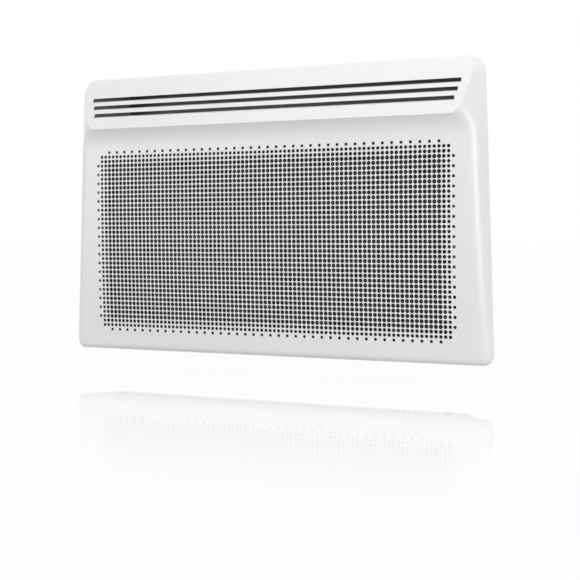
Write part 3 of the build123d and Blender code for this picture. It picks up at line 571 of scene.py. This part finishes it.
def applied(item):
    """Replaces an object's mesh by its modifiers' result."""
    graph = bpy.context.evaluated_depsgraph_get()
    mesh = bpy.data.meshes.new_from_object(item.evaluated_get(graph), depsgraph=graph)
    item.modifiers.clear()
    item.data = mesh
    return mesh


def panel_piece(material):
    """The front panel as a thin sheet behind its skin."""
    skin = build_skin()
    mesh = bpy.data.meshes.new("panel_sheet")
    mesh.from_pydata([[c * MM for c in p] for p in skin.points], [], skin.faces)
    bm = bmesh.new()
    bm.from_mesh(mesh)
    bmesh.ops.remove_doubles(bm, verts=bm.verts, dist=JOIN * MM)
    bmesh.ops.dissolve_degenerate(bm, edges=bm.edges, dist=TINY * MM)
    loose = [v for v in bm.verts if not v.link_faces]
    bmesh.ops.delete(bm, geom=loose, context="VERTS")
    bm.to_mesh(mesh)
    bm.free()
    item = finish_mesh("panel_sheet", mesh, material, "heater_body")
    solid = item.modifiers.new("thickness", "SOLIDIFY")
    solid.thickness = GAUGE * MM
    solid.offset = -1
    solid.use_even_offset = True
    mark_sharp(applied(item), SHARP)
    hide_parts("front_panel")


# ---- pieces whose edges are softened -------------------------------------------------
EDGES = {
    "control_bezel": 0.8, "control_housing": 0.8, "display_window": 0.3, "rocker_frame": 0.5,
    "rocker": 0.6, "rear_spacers": 1.0, "wall_rail": 0.5, "cable_gland": 0.4,
    "case_screws": 0.3, "bezel_screws": 0.3, "button_power": 0.45, "button_mode": 0.45,
    "button_plus": 0.45, "button_minus": 0.45, "button_timer": 0.45,
}                        # width of the soft edges of each of these pieces, mm
EDGE_STEPS = 3
EDGE_ANGLE = radians(35)     # edges that turn by more than this are softened
FLAT_ANGLE = radians(1)      # faces that turn by less than this are joined
SAME_PLACE = 0.001           # points closer than this are joined, mm


def body_of(node):
    """Name of the body that a node belongs to."""
    bodies = frame["record"]["behaviour"]["bodies"]
    return next(name for name, members in bodies.items() if node in members)


def softened(node, slot):
    """A piece with the shape of its node and soft edges, in the node's place."""
    source = frame["nodes"][node]
    mesh = source.data.copy()
    mesh.name = node + "_soft"
    mesh.transform(source.matrix_world)
    mesh.materials.clear()
    bm = bmesh.new()
    bm.from_mesh(mesh)
    bmesh.ops.remove_doubles(bm, verts=bm.verts, dist=SAME_PLACE * MM)
    bmesh.ops.dissolve_limit(bm, angle_limit=FLAT_ANGLE, verts=bm.verts, edges=bm.edges)
    for face in bm.faces:
        face.smooth = True
    bm.to_mesh(mesh)
    bm.free()
    item = finish_mesh(node + "_soft", mesh, SHADERS[slot], body_of(node))
    bevel = item.modifiers.new("edges", "BEVEL")
    bevel.width = EDGES[node] * MM
    bevel.segments = EDGE_STEPS
    bevel.limit_method = "ANGLE"
    bevel.angle_limit = EDGE_ANGLE
    bevel.harden_normals = True
    applied(item)
    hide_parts(node)


# ---- materials -----------------------------------------------------------------------
def linear(value):
    """Light of one channel of a screen colour, 0 to 255."""
    value /= 255
    return value / 12.92 if value <= 0.04045 else ((value + 0.055) / 1.055) ** 2.4


def tint(*rgb):
    """A screen colour, 0 to 255, as the materials take it."""
    return tuple(linear(c) for c in rgb) + (1.0,)


class NodeTree:
    """A node tree with a short call for a new node and its links."""

    def __init__(self, tree):
        self.tree = tree

    def node(self, kind, inputs=None, **settings):
        node = self.tree.nodes.new("ShaderNode" + kind)
        for key, value in settings.items():
            setattr(node, key, value)
        for key, value in (inputs or {}).items():
            self.feed(node.inputs[key], value)
        return node

    def feed(self, socket, value):
        if isinstance(value, bpy.types.NodeSocket):
            self.tree.links.new(value, socket)
        else:
            socket.default_value = value


class Shader(NodeTree):
    """A material's node tree with short calls for the nodes used here."""

    def __init__(self, name):
        self.material = bpy.data.materials.new(name)
        self.material.use_nodes = True
        super().__init__(self.material.node_tree)
        self.shader = self.tree.nodes["Principled BSDF"]
        self.place = self.tree.nodes.new("ShaderNodeTexCoord").outputs["Object"]

    def set(self, **values):
        for key, value in values.items():
            self.feed(self.shader.inputs[key.replace("_", " ")], value)

    def noise(self, scale, detail):
        inputs = {"Vector": self.place, "Scale": scale, "Detail": detail, "Roughness": 0.5}
        return self.node("TexNoise", inputs).outputs["Fac"]

    def ramp(self, factor, low, high, start=0.35, end=0.65):
        node = self.node("ValToRGB", {"Fac": factor})
        node.color_ramp.elements[0].position = start
        node.color_ramp.elements[0].color = low
        node.color_ramp.elements[1].position = end
        node.color_ramp.elements[1].color = high
        return node.outputs["Color"]

    def span(self, factor, low, high):
        inputs = {"Value": factor, "To Min": low, "To Max": high}
        return self.node("MapRange", inputs).outputs["Result"]

    def bump(self, height, distance, normal=None):
        inputs = {"Height": height, "Distance": distance, "Strength": 1.0}
        if normal is not None:
            inputs["Normal"] = normal
        return self.node("Bump", inputs).outputs["Normal"]


def powder_coat():
    """Smooth white powder coat with its faint orange peel."""
    coat = Shader("white_powder_coat")
    peel = coat.noise(420, 2.0)
    fine = coat.noise(2600, 1.0)
    cloud = coat.noise(7, 2.0)
    coat.set(Base_Color=coat.ramp(cloud, tint(237.5, 237, 237), tint(239.5, 239, 239)))
    coat.set(Roughness=coat.span(fine, 0.3, 0.4), Specular_IOR_Level=0.5)
    coat.set(Coat_Weight=0.6, Coat_Roughness=0.28)
    normal = coat.bump(peel, 0.00006)
    coat.set(Normal=coat.bump(fine, 0.000012, normal))
    return coat.material


def plain(name, colour, other, roughness, metallic=0.0, scale=600, depth=0.00003):
    """One material that drifts between two near colours, with a fine grain."""
    item = Shader(name)
    grain = item.noise(scale, 3.0)
    cloud = item.noise(scale / 30, 2.0)
    item.set(Base_Color=item.ramp(cloud, colour, other))
    item.set(Roughness=item.span(grain, roughness - 0.06, roughness + 0.08), Metallic=metallic)
    item.set(Normal=item.bump(grain, depth))
    return item.material


def galvanised(name, painted_shade=0.0):
    """Zinc-coated sheet with its spangle; the last argument paints shade, from 0 (none) to 1, as a
    darker grey on what faces the room.
    """
    sheet = Shader(name)
    cells = sheet.node("TexVoronoi", {"Vector": sheet.place, "Scale": 130.0}).outputs["Color"]
    grain = sheet.noise(900, 3.0)
    zinc = sheet.ramp(cells, tint(176, 179, 181), tint(194, 197, 199), 0.1, 0.9)
    facing = sheet.tree.nodes.new("ShaderNodeTexCoord").outputs["Normal"]
    front = sheet.node("SeparateXYZ", {"Vector": facing}).outputs["Y"]
    # painted shade: faces turned to the room, such as the case's inside seen through the slots, are
    # mixed towards a darker grey
    share = sheet.node("MapRange", {"Value": front, "From Min": -0.5, "From Max": -0.8,
                                    "To Max": painted_shade})
    painted_shade_sheet = sheet.node("MixRGB", {"Fac": share.outputs[0], "Color1": zinc,
                                  "Color2": tint(122, 122, 123)})
    sheet.set(Base_Color=painted_shade_sheet.outputs[0])
    sheet.set(Roughness=sheet.span(cells, 0.36, 0.46), Metallic=0.9)
    sheet.set(Normal=sheet.bump(grain, 0.00002))
    return sheet.material


SHADERS = {
    "white_enamel": powder_coat(),
    "galvanised_steel": galvanised("galvanised_steel"),
    "zinc_screw": plain("zinc_plated_steel", tint(186, 190, 194), tint(204, 206, 209), 0.28, 1.0),
    "grey_plastic": plain("grey_moulded_plastic", tint(112, 114, 117), tint(118, 120, 123), 0.5),
    "white_plastic": plain("white_moulded_plastic", tint(226, 226, 224), tint(231, 231, 229), 0.42),
    "black_plastic": plain("black_moulded_plastic", tint(30, 30, 31), tint(36, 36, 37), 0.48),
    "dark_phenolic": plain("dark_phenolic", tint(44, 33, 28), tint(56, 42, 35), 0.4),
    "dark_coating": plain("dark_radiating_coat", tint(36, 36, 37), tint(44, 44, 45), 0.72,
                          0.0, 1400, 0.00008),
    "ceramic": plain("glazed_ceramic", tint(226, 222, 212), tint(234, 231, 222), 0.3),
    "aluminium": plain("extruded_aluminium", tint(190, 192, 195), tint(204, 206, 208), 0.34, 1.0),
    "stainless_steel": plain("stainless_steel", tint(176, 176, 174), tint(192, 192, 190),
                             0.26, 1.0),
    "smoked_window": plain("smoked_window", tint(20, 21, 23), tint(24, 25, 27), 0.1,
                           0.0, 300, 0.000004),
    "circuit_board": plain("circuit_board", tint(26, 82, 52), tint(34, 96, 62), 0.4),
    "brass": plain("brass", tint(196, 160, 92), tint(210, 176, 108), 0.3, 1.0),
}
# painted shade: these pieces get the galvanised sheet darkened on the faces turned to the room
PAINTED_SHADE_PIECES = ("rear_case", "heat_shield", "end_plate_left", "end_plate_right")


def dress_nodes():
    """Gives every node the material of its slot, the galvanised pieces listed above with painted
    shade, and soft edges to some.
    """
    # galvanised sheet with full painted shade on what faces the room
    painted_shade_sheet = galvanised("galvanised_steel_painted_shade", 1.0)
    for entry in frame["record"]["subparts"]:
        item = frame["nodes"][entry["node"]]
        for slot in item.material_slots:
            slot.material = painted_shade_sheet if entry["node"] in PAINTED_SHADE_PIECES else SHADERS[entry["material_slot"]]
        if entry["node"] in EDGES:
            softened(entry["node"], entry["material_slot"])


# ---- floor, light and camera ---------------------------------------------------------
FLOOR_Z = -0.3444
FLOOR_HALF = 30.0
WORLD = 0.49             # strength of the surroundings' light on surfaces
FLOOR_GLOW = 0.92        # share of the seen floor that no shadow reaches
GLOSS_NEAR = -0.15       # the floor's gloss fades out between these places in front of the wall
GLOSS_FAR = -0.80
FLOOR_GLOSS = 0.6


def seen_directly(item):
    """1 for camera, mirror and glass rays, 0 for light that falls on surfaces."""
    path = item.node("LightPath")
    first = item.node("Math", {0: path.outputs["Is Camera Ray"], 1: path.outputs["Is Glossy Ray"]},
                      operation="MAXIMUM")
    return item.node("Math", {0: first.outputs[0], 1: path.outputs["Is Transmission Ray"]},
                     operation="MAXIMUM").outputs[0]


def make_world():
    """White to whoever looks at it, and about half as bright as a light on surfaces."""
    world = bpy.data.worlds.new("studio")
    bpy.context.scene.world = world
    world.use_nodes = True
    item = NodeTree(world.node_tree)
    low = item.tree.nodes["Background"]
    low.inputs["Color"].default_value = (1, 1, 1, 1)
    low.inputs["Strength"].default_value = WORLD
    high = item.node("Background", {"Color": (1, 1, 1, 1), "Strength": 1.0})
    mix = item.node("MixShader", {"Fac": seen_directly(item), 1: low.outputs[0],
                                  2: high.outputs[0]})
    item.tree.links.new(mix.outputs[0], item.tree.nodes["World Output"].inputs["Surface"])


def make_floor():
    """White floor that keeps a faint shadow and a faint reflection close to the heater."""
    mesh = bpy.data.meshes.new("floor")
    corners = [(x * FLOOR_HALF, y * FLOOR_HALF, FLOOR_Z)
               for x, y in ((-1, -1), (1, -1), (1, 1), (-1, 1))]
    mesh.from_pydata(corners, [], [(0, 1, 2, 3)])
    floor = bpy.data.objects.new("floor", mesh)
    bpy.context.scene.collection.objects.link(floor)
    item = Shader("studio_floor")
    lit = item.node("BsdfDiffuse", {"Color": (0.95, 0.95, 0.95, 1)})
    glow = item.node("Emission", {"Color": (1, 1, 1, 1), "Strength": 1.0})
    seen = item.node("MixShader", {"Fac": FLOOR_GLOW, 1: lit.outputs[0], 2: glow.outputs[0]})
    grey = item.node("BsdfDiffuse", {"Color": (0.6, 0.6, 0.6, 1)})
    base = item.node("MixShader", {"Fac": seen_directly(item), 1: grey.outputs[0],
                                   2: seen.outputs[0]})
    gloss = item.node("BsdfGlossy", {"Color": (1, 1, 1, 1), "Roughness": 0.03})
    fresnel = item.node("Fresnel", {"IOR": 1.45})
    place = item.node("SeparateXYZ", {"Vector": item.place})
    fade = item.node("MapRange", {"Value": place.outputs["Y"], "From Min": GLOSS_FAR,
                                  "From Max": GLOSS_NEAR, "To Min": 0.0, "To Max": FLOOR_GLOSS})
    share = item.node("Math", {0: fresnel.outputs[0], 1: fade.outputs["Result"]},
                      operation="MULTIPLY")
    top = item.node("MixShader", {"Fac": share.outputs[0], 1: base.outputs[0], 2: gloss.outputs[0]})
    item.tree.links.new(top.outputs[0], item.tree.nodes["Material Output"].inputs["Surface"])
    mesh.materials.append(item.material)


def soft_box(name, place, target, size, power):
    """Area lamp at a place, in metres, turned to a target; size in metres, power in watts."""
    lamp = bpy.data.lights.new(name, "AREA")
    lamp.shape = "RECTANGLE"
    lamp.size, lamp.size_y = size
    lamp.energy = power
    item = bpy.data.objects.new(name, lamp)
    bpy.context.scene.collection.objects.link(item)
    item.location = place
    item.rotation_euler = (Vector(place) - Vector(target)).to_track_quat("Z", "Y").to_euler()
    item.visible_camera = False


def make_lights():
    """Four soft lamps: above, at the right front, at the left front and behind."""
    soft_box("top_light", (0.1, -0.8, 0.9), (0, -0.1, -0.05), (1.9, 0.7), 4.6)
    soft_box("right_light", (1.65, -1.5, 0.12), (0.3, -0.1, -0.12), (1.1, 1.3), 15.6)
    soft_box("left_light", (-1.5, -1.3, 0.3), (-0.2, -0.1, -0.1), (1.4, 1.2), 5.3)
    soft_box("rear_light", (0, 0.25, 1.1), (0, -0.1, 0.05), (1.9, 0.5), 2)


def make_camera():
    """Camera that sees the panel from its right, as the photo does."""
    data = bpy.data.cameras.new("camera")
    data.sensor_width = 36.0
    data.lens = 74.73
    data.shift_x = -0.00069
    data.shift_y = -0.09204
    data.clip_end = 100
    item = bpy.data.objects.new("camera", data)
    bpy.context.scene.collection.objects.link(item)
    item.location = (0.7481, -1.5848, -0.1439)
    item.rotation_euler = Vector((-0.4299, 0.9029, 0)).to_track_quat("-Z", "Y").to_euler()
    bpy.context.scene.camera = item


panel_piece(SHADERS["white_enamel"])
dress_nodes()
make_world()
make_floor()
make_lights()
make_camera()
bpy.context.scene.view_settings.view_transform = "Standard"
